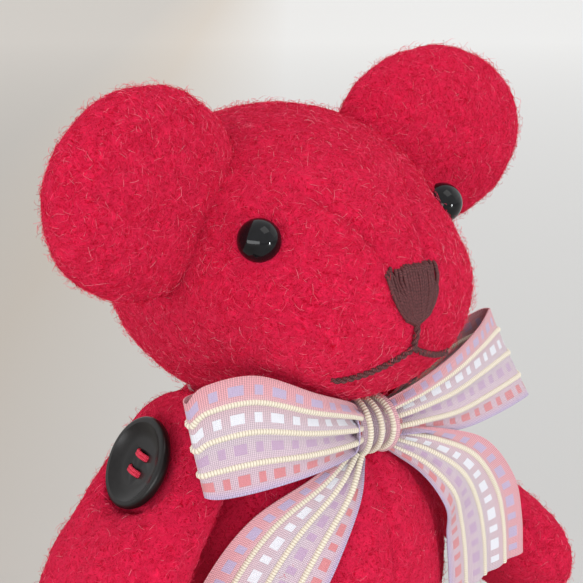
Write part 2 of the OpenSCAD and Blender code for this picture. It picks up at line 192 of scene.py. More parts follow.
# %% Floor
bpy.ops.mesh.primitive_plane_add(size=30, location=(0, 0, 0))
floor = bpy.context.object
floor.name = "floor"
floor_paint, tree, shader = paint("pale_card")
# Painted light: the floor is painted darker and warmer towards the camera's left, and brighter further from the
# camera, as the room's light falls off across it.
to_the_right = vector_node(tree, "DOT_PRODUCT", own_place(tree), (1.43, -1.25, 0))
to_the_back = vector_node(tree, "DOT_PRODUCT", own_place(tree), (0.213, 0.245, 0))
painted_light_falloff = ramp(tree, math_node(tree, "ADD", to_the_right, 0.5), [
    (0.0, (0.45, 0.425, 0.395)), (0.2, (0.50, 0.455, 0.405)), (0.48, (0.60, 0.592, 0.578)),
    (1.0, (0.605, 0.60, 0.59))])
painted_back_light = math_node(tree, "MINIMUM", math_node(tree, "ADD", to_the_back, 0.88), 1.5)
card = vector_node(tree, "SCALE", painted_light_falloff, math_node(tree, "MAXIMUM", painted_back_light, 0.95))
feed(tree, shader, Base_Color=card, Roughness=0.95, Specular_IOR_Level=0.1)
floor.data.materials.append(floor_paint)


# %% Light
def soft_light(name, direction, distance, size, watts, colour):
    """An area light that looks at the head from a direction."""
    towards = Vector(direction).normalized()
    bpy.ops.object.light_add(type="AREA", location=at(0, 0, 20) + towards * distance)
    lamp = bpy.context.object
    lamp.name = name
    lamp.rotation_euler = (-towards).to_track_quat("-Z", "Y").to_euler()
    assign(lamp.data, shape="RECTANGLE", size=size[0], size_y=size[1], energy=watts, color=colour)


soft_light("window", (0.15, -0.55, 1.0), 0.9, (0.5, 0.5), 1.3, (1, 0.985, 0.96))
soft_light("far_window", (0.2, -0.97, -0.06), 0.8, (0.06, 0.11), 1.8, (0.95, 0.98, 1))
soft_light("window_side", (0.9, -0.45, 0.55), 1.2, (0.9, 0.7), 0.7, (1, 0.98, 0.95))
soft_light("room", (-0.95, -0.35, 0.06), 1.1, (1.4, 0.3), 7.4, (0.98, 0.99, 1))
world = bpy.data.worlds.new("pale_room")
world.use_nodes = True
world.node_tree.nodes["Background"].inputs[0].default_value = (0.93, 0.935, 0.94, 1)
world.node_tree.nodes["Background"].inputs[1].default_value = 1.0
bpy.context.scene.world = world
bpy.context.scene.view_settings.view_transform = "Standard"

# %% [markdown]
# ## Stuffed forms
# A stuffed piece could be sculpted, but felt filled with wadding has a shape of its own: round between
# the seams, tight at them. So each form starts as a few balls fused into one skin. Cloth simulation
# then blows the skin up a little, with its seams and its flat places held, as stuffing does.

# %% Balls fused into one skin
def deselect():
    bpy.ops.object.select_all(action="DESELECT")


def pick(*pieces):
    deselect()
    for piece in pieces:
        piece.select_set(True)
    bpy.context.view_layer.objects.active = pieces[0]


def ball(centre, size):
    deselect()
    bpy.ops.mesh.primitive_uv_sphere_add(segments=48, ring_count=24, radius=0.5, location=centre)
    made = bpy.context.object
    made.scale = Vector(size) * MM
    bpy.ops.object.transform_apply(location=True, rotation=True, scale=True)
    return made


def chain(stops, steps):
    """Balls that pass from one (centre, size) stop to the next, in millimetres from the origin."""
    balls = []
    for (centre, size), (next_centre, next_size) in zip(stops, stops[1:]):
        for step in range(steps):
            share = step / steps
            middle = Vector(centre).lerp(Vector(next_centre), share)
            balls.append(ball(middle * MM, Vector(size).lerp(Vector(next_size), share)))
    balls.append(ball(Vector(stops[-1][0]) * MM, stops[-1][1]))
    return balls


def modify(piece, kind, **values):
    """Adds one modifier, sets it and applies it."""
    pick(piece)
    modifier = piece.modifiers.new(kind.lower(), kind)
    assign(modifier, **values)
    bpy.ops.object.modifier_apply(modifier=modifier.name)


def points(piece, what="co"):
    """A piece's points as rows, or its normals where what is "normal"."""
    flat = np.empty(len(piece.data.vertices) * 3)
    piece.data.vertices.foreach_get(what, flat)
    return flat.reshape(-1, 3)


def move_points(piece, places):
    piece.data.vertices.foreach_set("co", np.ascontiguousarray(places).ravel())
    piece.data.update()


def keep_above(piece, axis, least):
    """Lifts the points that are below least, in millimetres, on one axis."""
    places = points(piece)
    places[:, axis] = np.maximum(places[:, axis], least * MM)
    move_points(piece, places)


def shade(piece, angle=None):
    """Smooth shading, and sharp edges where faces meet at more than the angle in degrees."""
    pick(piece)
    if angle:
        bpy.ops.object.shade_smooth_by_angle(angle=math.radians(angle))
    else:
        bpy.ops.object.shade_smooth()


def new_piece(name, mesh, material=None):
    """Puts a mesh into the scene as an object."""
    made = bpy.data.objects.new(name, mesh)
    bpy.context.scene.collection.objects.link(made)
    if material:
        mesh.materials.append(material)
    return made


def declare(piece, body, slot, *nodes):
    """Says which body a piece rides on and which nodes it stands for. slot, what it is made of, is not used."""
    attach(piece, body)
    if nodes:
        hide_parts(*nodes)


def fuse(name, balls, voxel, rounds):
    """Joins balls, remeshes them into one skin and smooths away the creases between them."""
    pick(*balls)
    bpy.ops.object.join()
    skin = bpy.context.object
    skin.name = name
    modify(skin, "REMESH", mode="VOXEL", voxel_size=voxel * MM)
    modify(skin, "SMOOTH", factor=0.5, iterations=rounds)
    return skin


# %% Stuffing by cloth simulation
SIM_SCALE, SIM_FRAMES = 20, 16
PRESSURE, PILL = 3, 0.22


def stuff(skin, held, pressure, most):
    """Blows the skin up. held says how firmly each point stays (0 to 1), and most how far one may move."""
    before = points(skin)
    skin.data.transform(Matrix.Scale(SIM_SCALE, 4))
    group = skin.vertex_groups.new(name="held")
    for index, weight in enumerate(held):
        if weight > 0.01:
            group.add([index], float(weight), "REPLACE")
    cloth = skin.modifiers.new("stuffing", "CLOTH")
    cloth.settings.effector_weights.gravity = 0
    assign(cloth.settings, use_pressure=True, uniform_pressure_force=pressure, vertex_group_mass="held",
           quality=4, bending_stiffness=4)
    assign(cloth.point_cache, frame_start=1, frame_end=SIM_FRAMES)
    for step in range(1, SIM_FRAMES + 1):
        bpy.context.scene.frame_set(step)
    pick(skin)
    bpy.ops.object.modifier_apply(modifier="stuffing")
    bpy.context.scene.frame_set(1)
    skin.data.transform(Matrix.Scale(1 / SIM_SCALE, 4))
    moved = points(skin) - before
    far = np.linalg.norm(moved, axis=1, keepdims=True)
    print(skin.name, "swells by up to", round(float(far.max()) * 1000, 2), "mm")
    move_points(skin, before + moved * np.minimum(1, most * MM / np.maximum(far, 1e-9)))
    modify(skin, "SMOOTH", factor=0.5, iterations=2)


def refine(skin):
    modify(skin, "SUBSURF", levels=1, render_levels=1)


LUMPS = bpy.data.textures.new("stuffing_lumps", "CLOUDS")
assign(LUMPS, noise_scale=0.011, noise_depth=1)
PILLS = bpy.data.textures.new("felt_pills", "CLOUDS")
assign(PILLS, noise_scale=0.0016, noise_depth=2)


def roughen(skin, lump=0.7):
    """Hand stuffing leaves soft lumps, and boiled wool a fine pilled surface."""
    for texture, height in ((LUMPS, lump), (PILLS, PILL)):
        modify(skin, "DISPLACE", texture=texture, strength=height * MM, mid_level=0.5,
               texture_coords="GLOBAL")


def groove(skin, distance, depth, width):
    """Pulls the skin in along a seam. distance is each point's distance from it."""
    pull = np.asarray(depth) * MM * np.exp(-(distance / (width * MM)) ** 2)
    move_points(skin, points(skin) - points(skin, "normal") * pull.reshape(-1, 1))


def finish_felt(skin, body, *nodes):
    """The declarations of a stuffed felt piece."""
    shade(skin)
    declare(skin, body, "felt", *nodes)
    print(skin.name, len(skin.data.polygons), "faces")


# %% [markdown]
# ## Head
# The head is two side panels and a gusset over the crown. The crown is a ball, the muzzle a smaller one,
# and a third between them fills the bridge. The two gusset seams start beside the nose and run back
# between the eyes and over the crown, and a third seam runs down under the chin.

# %% Head
def from_neck(skin):
    skin.data.transform(Matrix.Translation(NECK))


CROWN = (Vector((0, -2.4, 29.5)), Vector((77.5, 75.4, 66.8)))
MUZZLE = (Vector((0, -24.6, 24.4)), Vector((65.5, 47.2, 44.6)))
BRIDGE = (Vector((0, -13.8, 27.6)), Vector((72.8, 61, 55)))
head = fuse("head_felt", [ball(centre * MM, size) for centre, size in (CROWN, MUZZLE, BRIDGE)], 1.8, 14)
keep_above(head, 2, 1.2)
GUSSET = [(5, -46), (8, -38), (19, -22), (22, -4), (17, 16), (8, 30), (5, 40)]


def distance_to_line(places, line):
    """Distance in plan from each point to a line of (x, y) stops, in metres."""
    best = np.full(len(places), 1.0)
    for (ax, ay), (bx, by) in zip(line, line[1:]):
        start, run = np.array((ax, ay)) * MM, np.array((bx - ax, by - ay)) * MM
        share = np.clip(((places[:, :2] - start) @ run) / (run @ run), 0, 1)
        best = np.minimum(best, np.linalg.norm(places[:, :2] - start - share[:, None] * run, axis=1))
    return best


def gusset_distance(places):
    """The seams are mirrored, and lie only on the top of the head."""
    folded = np.abs(places) * (1, 0, 0) + places * (0, 1, 1)
    return distance_to_line(folded, GUSSET) + np.where(places[:, 2] < 30 * MM, 0.05, 0)


def chin_distance(places):
    return np.abs(places[:, 0]) + np.where((places[:, 1] < -30 * MM) & (places[:, 2] < 20 * MM), 0, 0.05)


start_places = points(head)
stuff(head, np.maximum(0.9 * np.exp(-(gusset_distance(start_places) / 0.002) ** 2),
                       start_places[:, 2] < 2 * MM), PRESSURE, 0.9)
refine(head)
fine = points(head)
groove(head, gusset_distance(fine), 1.2 - 0.85 * np.clip((fine[:, 1] / MM + 40) / 25, 0, 1), 0.8)
groove(head, chin_distance(fine), 0.5, 0.8)
from_neck(head)
roughen(head)
finish_felt(head, "head", "head_side_left", "head_side_right", "head_gusset", "head_stuffing")

# %% [markdown]
# ## Ears
# An ear is two felt discs, sewn round and turned, with a little wadding. It sits across the corner of the
# head, so its base is curved: the points that would be inside the head are laid onto the crown's ball.

# %% Ears
EAR_LEFT, EAR_RIGHT = ((39.4, -11.3, 52.5), (53.6, 18.5, 42.4)), ((-41.6, -11.3, 50.1), (50.5, 18.5, 44))
EAR_TURN = math.radians(8)


def make_ear(name, centre, size, *nodes):
    ear = fuse(name, [ball(Vector(), size)], 1.5, 3)
    local = points(ear) / MM
    flatter = np.sign(local[:, 1]) * np.minimum(np.abs(local[:, 1]), 6.5 + 0.3 * (np.abs(local[:, 1]) - 6.5))
    local[:, 1] = np.where(np.abs(local[:, 1]) > 6.5, flatter, local[:, 1])
    move_points(ear, local * MM)
    rim = np.exp(-(points(ear)[:, 1] / 0.0012) ** 2)
    stuff(ear, rim * 0.95, PRESSURE, 0.9)
    refine(ear)
    turn = -math.copysign(EAR_TURN, centre[0])
    ear.data.transform(Matrix.Translation(Vector(centre) * MM) @ Matrix.Rotation(turn, 4, "Z"))
    offset = points(ear) - np.array(CROWN[0]) * MM
    reach = np.linalg.norm(offset / (np.array(CROWN[1]) / 2 * MM), axis=1)
    inside = np.maximum(1, 0.985 / np.maximum(reach, 1e-6))
    move_points(ear, np.array(CROWN[0]) * MM + offset * inside[:, None])
    from_neck(ear)
    roughen(ear, 0.9)
    finish_felt(ear, "head", *nodes)
    return ear


ear_left = make_ear("ear_left_felt", *EAR_LEFT, "ear_left", "ear_left_wadding")
ear_right = make_ear("ear_right_felt", *EAR_RIGHT, "ear_right", "ear_right_wadding")

# %% [markdown]
# ## Body
# The body is two halves with a seam down the front and back. It is an egg, drawn in flat where the neck
# and each limb lie against it.

# %% Body
SHOULDER_PLANE, HIP_PLANE = 18.1, 36.6


def draw_flat(places, tilt, plane):
    """Lays what is outside a pair of planes, mirrored left and right, onto them."""
    for side in (-1, 1):
        out = np.array((side * math.cos(tilt), 0, math.sin(tilt)))
        over = np.maximum(places @ out - plane * MM, 0)
        places = places - over[:, None] * out
    return places


belly = ball(Vector((0, -5, -42)) * MM, (75.5, 77, 98))
collar_seat = ball(Vector((0, -1, -9)) * MM, (34, 34, 14))
body = fuse("body_felt", [belly, collar_seat], 1.8, 8)
places = draw_flat(draw_flat(points(body), SHOULDER_TILT, SHOULDER_PLANE), HIP_TILT, HIP_PLANE)
places[:, 2] = np.minimum(places[:, 2], -1.8 * MM)
move_points(body, places)
modify(body, "SMOOTH", factor=0.5, iterations=3)
start_places = points(body)
seam = np.abs(start_places[:, 0])
flat_there = np.abs(start_places - draw_flat(start_places, SHOULDER_TILT, SHOULDER_PLANE - 0.8)).max(1) > 0
stuff(body, np.maximum(0.9 * np.exp(-(seam / 0.002) ** 2), flat_there), PRESSURE, 0.9)
move_points(body, draw_flat(draw_flat(points(body), SHOULDER_TILT, SHOULDER_PLANE), HIP_TILT, HIP_PLANE))
refine(body)
groove(body, np.abs(points(body)[:, 0]), 1.0, 0.9)
from_neck(body)
roughen(body)
finish_felt(body, "torso", "body_side_left", "body_side_right", "body_stuffing")

# %% [markdown]
# ## Arms and legs
# A limb is an outer and an inner panel, sewn round the edge. It lies flat on its inner face, where it
# turns against the body, and the button pulls a round dimple into its outer face. It is made on the
# bench, then put in its place.

# %% Limbs
ARM_STOPS = {
    "left": [((5, 2.5, -2), (9.6, 33, 34)), ((7, 3.2, -25), (14.2, 30.5, 36)),
             ((12, -5.2, -56), (22.8, 36, 36))],
    "right": [((6.4, 0, 0), (12.2, 37, 38)), ((11, -2, -26), (21.4, 38.4, 36)),
              ((12, -3, -56), (23.4, 36, 36))]}
LEG_STOPS = [((9.6, 0, 0), (18.6, 42, 42)), ((13, 1, -36), (25.4, 33, 30))]
FOOT_STOPS = [((13, 3, -43), (25.4, 30, 24)), ((12.6, -16, -46.5), (24.6, 30, 22))]
ARM_EDGE, LEG_EDGE = 9.5, 12
SEATS = {"arm_left": 11.2, "arm_right": 12.8, "leg_left": 18.6, "leg_right": 18.6}
BUTTON_R = 10
FACE_GAP = 0.35
SOLE_T = 1.8


def dimple(places, seat):
    """Presses the outer face in under the button, and lets it rise again round the button's rim."""
    x, y, z = (places / MM).T
    from_axis = np.hypot(y, z)
    ease = np.clip((from_axis - BUTTON_R - 0.6) / 4, 0, 1) ** 0.6 * 9
    x = np.where(x > 4, np.minimum(x, seat - 0.25 + ease), x)
    return np.stack((x, y, z), 1) * MM


def make_limb(name, stops, more, edge, body_name, *nodes):
    place, seat = LIMBS[body_name], SEATS[body_name]
    limb = fuse(name, chain(stops, 4) + (chain(more, 4) if more else []), 1.6, 6)
    keep_above(limb, 0, FACE_GAP)
    move_points(limb, dimple(points(limb), seat))
    modify(limb, "SMOOTH", factor=0.5, iterations=2)
    places = points(limb)
    at_seam = np.exp(-((places[:, 0] - edge * MM) / 0.0016) ** 2) * 0.7
    at_pivot = (places[:, 0] < 1.2 * MM) | (np.hypot(places[:, 1], places[:, 2]) < 0.0105)
    stuff(limb, np.maximum(at_seam, at_pivot), PRESSURE, 0.8)
    refine(limb)
    move_points(limb, dimple(points(limb), seat))
    keep_above(limb, 0, FACE_GAP)
    groove(limb, np.abs(points(limb)[:, 0] - edge * MM), 0.7, 0.9)
    limb.data.transform(place)
    if more:
        keep_above(limb, 2, SOLE_T + 0.1)
    if place.determinant() < 0:
        limb.data.flip_normals()
    roughen(limb, 0.5 if more else 0.7)
    keep_above(limb, 2, SOLE_T + 0.02)
    finish_felt(limb, body_name, *nodes)
    return limb


limbs = {}
for side in ("left", "right"):
    limbs["arm_" + side] = make_limb(f"arm_{side}_felt", ARM_STOPS[side], None, ARM_EDGE, "arm_" + side,
                                     f"arm_{side}_outer", f"arm_{side}_inner", f"arm_{side}_stuffing")
    limbs["leg_" + side] = make_limb(f"leg_{side}_felt", LEG_STOPS, FOOT_STOPS, LEG_EDGE, "leg_" + side,
                                     f"leg_{side}_outer", f"leg_{side}_inner", f"leg_{side}_stuffing")

# %% [markdown]
# ## Felt
# Boiled wool is matted fibre: thin strands over pits, all a little out of line. Ridged
# noise draws such strands. Its coordinates are warped first, so that no direction repeats, and
# the same strands lift the surface. Their colour is painted light and shade: the pits are painted
# darker as shade, and the strand tops lighter as a painted highlight. A second, finer layer crosses
# the first. The fuzz that stands off the felt is real geometry, made in the next cells.

# %% Felt material
def warped(tree, scale, amount):
    """Object coordinates pushed about by noise, so that a pattern loses its direction."""
    place = own_place(tree)
    wander = node(tree, "TexNoise", Vector=place, Scale=scale, Detail=2.0)
    centred = vector_node(tree, "SUBTRACT", wander.outputs["Color"], (0.5, 0.5, 0.5))
    return vector_node(tree, "ADD", vector_node(tree, "MULTIPLY", centred, (amount, amount, amount)), place)


def strands(tree, vector, stretch, scale):
    """Thin raised lines, as fibres are: ridged noise stretched one way."""
    turned = node(tree, "Mapping", Vector=vector, Scale=stretch)
    lines = node(tree, "TexNoise", noise_type="RIDGED_MULTIFRACTAL", normalize=True, Scale=scale, Detail=3.0,
                 Roughness=0.55, Lacunarity=2.3, Offset=0.9, Gain=2.0, Vector=turned.outputs[0])
    return lines.outputs["Fac"]


# Painted shade and highlight: the first colour is the felt's red painted darker in the pits, as shade, and the
# last is it painted lighter on the strand tops, as highlight.
FELT_PIT_SHADE, FELT_RED, FELT_STRAND_HIGHLIGHT = (0.40, 0.001, 0.014), (0.62, 0.003, 0.033), (0.84, 0.016, 0.075)


def make_felt_paint():
    material, tree, shader = paint("boiled_wool_felt")
    across = strands(tree, warped(tree, 260, 0.006), (1, 2.6, 1.3), 620)
    along = strands(tree, warped(tree, 190, 0.008), (2.4, 1, 2.0), 800)
    matted = math_node(tree, "MAXIMUM", across, along)
    patch = node(tree, "TexNoise", Vector=own_place(tree), Scale=75, Detail=3.0)
    tone = math_node(tree, "MULTIPLY_ADD", patch.outputs["Fac"], 0.22, -0.11)
    # The colour follows the strands that lift the surface: painted shade in the low pits, painted highlight on the
    # high strands.
    colour = ramp(tree, math_node(tree, "ADD", matted, tone), [
        (0.18, FELT_PIT_SHADE), (0.46, FELT_RED), (0.72, FELT_RED), (0.97, FELT_STRAND_HIGHLIGHT)])
    feed(tree, shader, Base_Color=colour, Roughness=0.92, Specular_IOR_Level=0.05, Sheen_Weight=0.35,
         Sheen_Roughness=0.45, Sheen_Tint=(1, 0.10, 0.18))
    bump(tree, shader, matted, 0.0009, 0.75)
    return material


felt_paint = make_felt_paint()
felt_skins = [o for o in bpy.context.scene.objects if o.type == "MESH" and o.name.endswith("_felt")]
for skin in felt_skins:
    skin.data.materials.clear()
    skin.data.materials.append(felt_paint)
print(len(felt_skins), "felt pieces")

# %% [markdown]
# ## Nap
# Every stuffed felt piece carries a coat of loose fibres, which soften its outline and catch the light.
# Hair strands could do this, but they don't export, so each fibre is a thin three-sided thorn: three
# rings and a tip. They are scattered evenly over a skin's area and laid nearly flat, and a few stand up.

# %% Fibres
FIBRE_R, ROOT_DEPTH = 0.043, 0.12
STANDING, CURL = 0.16, 0.45


def nap_paint():
    material, tree, shader = paint("loose_wool_fibre")
    tone = node(tree, "Attribute", attribute_name="tone").outputs["Fac"]
    colour = ramp(tree, tone, [
        (0.0, (0.50, 0.001, 0.018)), (0.3, (0.68, 0.005, 0.040)), (0.7, (0.84, 0.028, 0.095)),
        (0.94, (0.90, 0.10, 0.19)), (1.0, (0.90, 0.30, 0.36))])
    feed(tree, shader, Base_Color=colour, Roughness=0.7, Specular_IOR_Level=0.1)
    return material


fibre_paint = nap_paint()


def unit(rows):
    return rows / np.maximum(np.linalg.norm(rows, axis=1, keepdims=True), 1e-12)


def make_nap(name, skin, body, count, seed, wanted=None, length=2.6):
    """Scatters count fibres over a skin. wanted(places) is 0 where none should grow."""
    random = np.random.default_rng(seed)
    skin.data.calc_loop_triangles()
    corners = np.empty(len(skin.data.loop_triangles) * 3, np.int32)
    skin.data.loop_triangles.foreach_get("vertices", corners)
    corners = corners.reshape(-1, 3)
    place, normal = points(skin), points(skin, "normal")
    a, b, c = (place[corners[:, k]] for k in range(3))
    weight = np.linalg.norm(np.cross(b - a, c - a), axis=1)
    if wanted is not None:
        weight = weight * wanted((a + b + c) / 3)
    chosen = corners[random.choice(len(corners), count, p=weight / weight.sum())]
    first, second = np.sqrt(random.random((count, 1))), random.random((count, 1))
    share = np.stack((1 - first, first * (1 - second), first * second), 1)
    root = (place[chosen] * share).sum(1)
    up = unit((normal[chosen] * share).sum(1))
    lay = unit(np.cross(up, random.normal(size=(count, 3))))
    side = np.cross(up, lay)
    size = length * MM * (0.35 + 0.9 * random.random((count, 1)) ** 1.6)
    stands_up = random.random((count, 1)) < STANDING
    high, low = 0.5 + 0.7 * random.random((count, 1)), 0.16 + 0.26 * random.random((count, 1))
    lift = MM * np.where(stands_up, high, low)
    end_lift = np.where(stands_up, lift * random.random((count, 1)) * 1.4, 0.05 * MM)
    curl = random.normal(size=(count, 1)) * CURL
    radius = FIBRE_R * MM * (0.8 + 0.4 * random.random((count, 1)))
    rings = []
    for station, thick in ((0.0, 1.0), (0.36, 0.9), (0.72, 0.7)):
        middle = (root + lay * size * station + side * size * curl * station ** 2 - up * ROOT_DEPTH * MM
                  + up * (lift * 4 * station * (1 - station) + end_lift * station ** 2))
        for turn in (0, 1, 2):
            angle = turn * math.tau / 3
            rings.append(middle + radius * thick * (math.cos(angle) * up + math.sin(angle) * side))
    rings.append(root + lay * size + side * size * curl + up * (end_lift - 0.05 * MM))
    places = np.stack(rings, 1).reshape(-1, 3)
    sides = []
    for ring in (0, 3):
        for turn in (0, 1, 2):
            here, beside = ring + turn, ring + (turn + 1) % 3
            sides += [(here, beside, beside + 3), (here, beside + 3, here + 3)]
    sides += [(6 + turn, 6 + (turn + 1) % 3, 9) for turn in (0, 1, 2)] + [(2, 1, 0)]
    faces = (np.arange(count)[:, None, None] * 10 + np.array(sides)[None]).reshape(-1, 3)
    mesh = bpy.data.meshes.new(name)
    mesh.vertices.add(len(places))
    mesh.vertices.foreach_set("co", places.ravel())
    mesh.loops.add(faces.size)
    mesh.loops.foreach_set("vertex_index", faces.ravel())
    mesh.polygons.add(len(faces))
    mesh.polygons.foreach_set("loop_start", np.arange(len(faces)) * 3)
    mesh.update(calc_edges=True)
    tone = mesh.attributes.new("tone", "FLOAT", "POINT")
    tone.data.foreach_set("value", np.repeat(random.random(count), 10).astype(np.float32))
    nap = new_piece(name, mesh, fibre_paint)
    shade(nap)
    declare(nap, body, "felt")


def on_bare_head(places):
    """No fibres under the head, where it turns on the body, nor under the nose and the eyes."""
    x, y, z = ((places - np.array(NECK)) / MM).T
    nose = (y < -38) & (np.abs(x) < 6.5) & (z > 22) & (z < 35)
    eyes = np.linalg.norm(np.stack((np.abs(x), y, z), 1) - EYE_PLACE, axis=1) < 4.4
    return ((z > 2.5) & ~nose & ~eyes) * 1.0


def off_the_joints(places):
    """No fibres on the body where the neck and the limbs turn against it."""
    local = places - np.array(NECK)
    clear_of_arm = np.abs(local - draw_flat(local, SHOULDER_TILT, SHOULDER_PLANE - 0.5)).max(1) < 1e-7
    clear_of_leg = np.abs(local - draw_flat(local, HIP_TILT, HIP_PLANE - 0.5)).max(1) < 1e-7
    return clear_of_arm * clear_of_leg * (local[:, 2] < -3 * MM) * 1.0


def off_the_inner_face(limb_name):
    """No fibres on a limb's inner face, under its button or near the ground."""
    back_to_bench = np.array(LIMBS[limb_name].inverted())

    def wanted(places):
        on_bench = places @ back_to_bench[:3, :3].T + back_to_bench[:3, 3]
        under_button = np.hypot(on_bench[:, 1], on_bench[:, 2]) < (BUTTON_R + 0.4) * MM
        return (on_bench[:, 0] > 2 * MM) * (1 - under_button) * (places[:, 2] > 5 * MM) * 1.0
    return wanted


FIBRES, SPARSER, SPARSEST = 11000, 8500, 5500
for layer in (1, 2, 3):
    make_nap(f"head_nap_{layer}", head, "head", FIBRES, layer, on_bare_head)
make_nap("ear_left_nap", ear_left, "head", SPARSER, 11)
make_nap("ear_right_nap", ear_right, "head", SPARSER, 12)
make_nap("body_nap", body, "torso", SPARSER, 13, off_the_joints, 3.0)
for seed, (limb_name, limb) in enumerate(limbs.items()):
    make_nap(limb_name + "_nap", limb, limb_name, SPARSEST, 20 + seed, off_the_inner_face(limb_name), 2.8)
print("fibres done")

# %% [markdown]
# ## Soles
# Each foot stands on a flat oval of the same felt: a thin cylinder, as long and as wide as the sole in the
# frame, with its edge rounded over.

# %% Soles
def make_sole(side):
    cad_low, cad_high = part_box(f"leg_{side}_sole")
    middle, size = (cad_low + cad_high) / 2, cad_high - cad_low
    deselect()
    bpy.ops.mesh.primitive_cylinder_add(vertices=72, radius=0.5, depth=1, location=middle)
    sole = bpy.context.object
    sole.name = f"sole_{side}_felt"
    sole.scale = (size.x, size.y, size.z)
    bpy.ops.object.transform_apply(location=True, rotation=True, scale=True)
    modify(sole, "BEVEL", width=0.7 * MM, segments=3, limit_method="ANGLE")
    sole.data.materials.append(felt_paint)
    shade(sole, 50)
    declare(sole, "leg_" + side, "felt", f"leg_{side}_sole")


make_sole("left")
make_sole("right")

# %% [markdown]
# ## Eyes
# A bead eye is a glossy black plastic dome on a post. It starts as a ball; the back is cut flat, and the
# flat face is inset and extruded into the post that goes through the felt.

# %% Eyes
def plastic_paint(name, colour, roughness, gloss):
    material, tree, shader = paint(name)
    grain = node(tree, "TexNoise", Vector=own_place(tree), Scale=900, Detail=3.0).outputs["Fac"]
    tint = ramp(tree, grain, [(0.3, tuple(c * 0.8 for c in colour)), (0.7, tuple(c * 1.3 for c in colour))])
    wear = math_node(tree, "MULTIPLY_ADD", grain, 0.08, roughness - 0.04)
    feed(tree, shader, Base_Color=tint, Roughness=wear, Specular_IOR_Level=gloss)
    bump(tree, shader, grain, 0.00002, 0.15)
    return material


eye_paint = plastic_paint("black_bead", (0.004, 0.004, 0.005), 0.07, 0.26)
EYE_R, EYE_OUT, EYE_UP = 4.5, math.radians(35), math.radians(6)


def make_eye(name, side):
    deselect()
    bpy.ops.mesh.primitive_uv_sphere_add(segments=64, ring_count=32, radius=EYE_R * MM)
    eye = bpy.context.object
    eye.name = name + "_bead"
    bpy.ops.object.mode_set(mode="EDIT")
    bpy.ops.mesh.select_all(action="SELECT")
    bpy.ops.mesh.bisect(plane_co=(0, 0, -1.2 * MM), plane_no=(0, 0, 1), use_fill=True, clear_inner=True)
    bpy.ops.mesh.inset(thickness=3.2 * MM)
    bpy.ops.mesh.extrude_region_move(TRANSFORM_OT_translate={"value": (0, 0, -6.5 * MM)})
    bpy.ops.object.mode_set(mode="OBJECT")
    modify(eye, "BEVEL", width=0.12 * MM, segments=2, limit_method="ANGLE", angle_limit=math.radians(40))
    turn = Matrix.Rotation(side * EYE_OUT, 4, "Z") @ Matrix.Rotation(math.pi / 2 - EYE_UP, 4, "X")
    x, y, z = EYE_PLACE
    place = Matrix.Translation(at(side * x, y, z))
    eye.data.transform(place @ turn)
    eye.data.materials.append(eye_paint)
    shade(eye, 30)
    declare(eye, "head", "black_plastic", name)


make_eye("eye_left", 1)
make_eye("eye_right", -1)

# %% [markdown]
# ## Embroidery
# The nose is a shield of long satin stitches, and the mouth a line of stem stitch, which looks like a thin
# rope. Both follow the felt, so each stitch's points are found by shooting a ray at the muzzle.

# %% Thread tools
muzzle_tree = BVHTree.FromObject(head, bpy.context.evaluated_depsgraph_get())


def on_muzzle(x, z, out):
    """The felt's front at a place x, z, raised by out, in metres."""
    start = at(x, -90, z)
    hit, normal, _, _ = muzzle_tree.ray_cast(start, Vector((0, 1, 0)))
    return hit + normal * out * MM


def distances(path):
    """How far along a path each of its points is, in the path's own units."""
    return np.concatenate(([0], np.cumsum(np.linalg.norm(np.diff(path, axis=0), axis=1))))


def sweep(name, material, paths, radii, sides=8, closed=False):
    """Round tubes along paths, in one mesh. A path is a list of points, and its radius may vary along it."""
    verts, faces, uvs = [], [], []
    for path, radius in zip(paths, radii):
        path = np.array(path)
        run = np.gradient(path, axis=0)
        if closed:
            run = np.roll(path, -1, axis=0) - np.roll(path, 1, axis=0)
        run = unit(run)
        guide = np.tile(np.cross(run[0], (0.31, 0.17, 0.93)), (len(run), 1))
        for i in range(1, len(run)):
            guide[i] = guide[i - 1] - run[i] * (guide[i - 1] @ run[i])
        guide = unit(guide - run * (guide * run).sum(1, keepdims=True))
        other = np.cross(run, guide)
        along = distances(path) / MM
        thick = np.broadcast_to(np.asarray(radius, float), len(path)) * MM
        base = len(verts)
        for i in range(len(path)):
            for k in range(sides):
                angle = math.tau * k / sides
                verts.append(path[i] + thick[i] * (math.cos(angle) * guide[i] + math.sin(angle) * other[i]))
        last = len(path) if closed else len(path) - 1
        for i in range(last):
            j = (i + 1) % len(path)
            for k in range(sides):
                m = (k + 1) % sides
                low, high = base + i * sides, base + j * sides
                faces.append((low + k, low + m, high + m, high + k))
                v0, v1 = along[i], along[i] + (along[-1] / len(path) if j == 0 else along[j] - along[i])
                uvs += [(k / sides, v0), ((k + 1) / sides, v0), ((k + 1) / sides, v1), (k / sides, v1)]
        if not closed:
            for i, flip in ((0, True), (len(path) - 1, False)):
                cap = [base + i * sides + k for k in range(sides)]
                faces.append(tuple(reversed(cap)) if flip else tuple(cap))
                uvs += [(0.5, along[i])] * sides
    mesh = bpy.data.meshes.new(name)
    mesh.from_pydata(verts, [], faces)
    mesh.uv_layers.new(name="thread").data.foreach_set("uv", np.array(uvs).ravel())
    made = new_piece(name, mesh, material)
    shade(made)
    return made


def catmull_rom(p, q, r, s, t):
    """The place at share t on the curve between the stops q and r."""
    return 0.5 * (2 * q + (r - p) * t + (2 * p - 5 * q + 4 * r - s) * t ** 2
                  + (3 * q - p - 3 * r + s) * t ** 3)


def smooth_path(stops, step=0.35):
    """A Catmull-Rom curve through stops, with points about step millimetres apart."""
    stops = [np.array(stop, float) for stop in stops]
    stops = [2 * stops[0] - stops[1]] + stops + [2 * stops[-1] - stops[-2]]
    path = []
    for p, q, r, s in zip(stops, stops[1:], stops[2:], stops[3:]):
        count = max(2, int(np.linalg.norm(r - q) / (step * MM)))
        path += [catmull_rom(p, q, r, s, t) for t in np.arange(count) / count]
    path.append(stops[-2])
    return np.array(path)


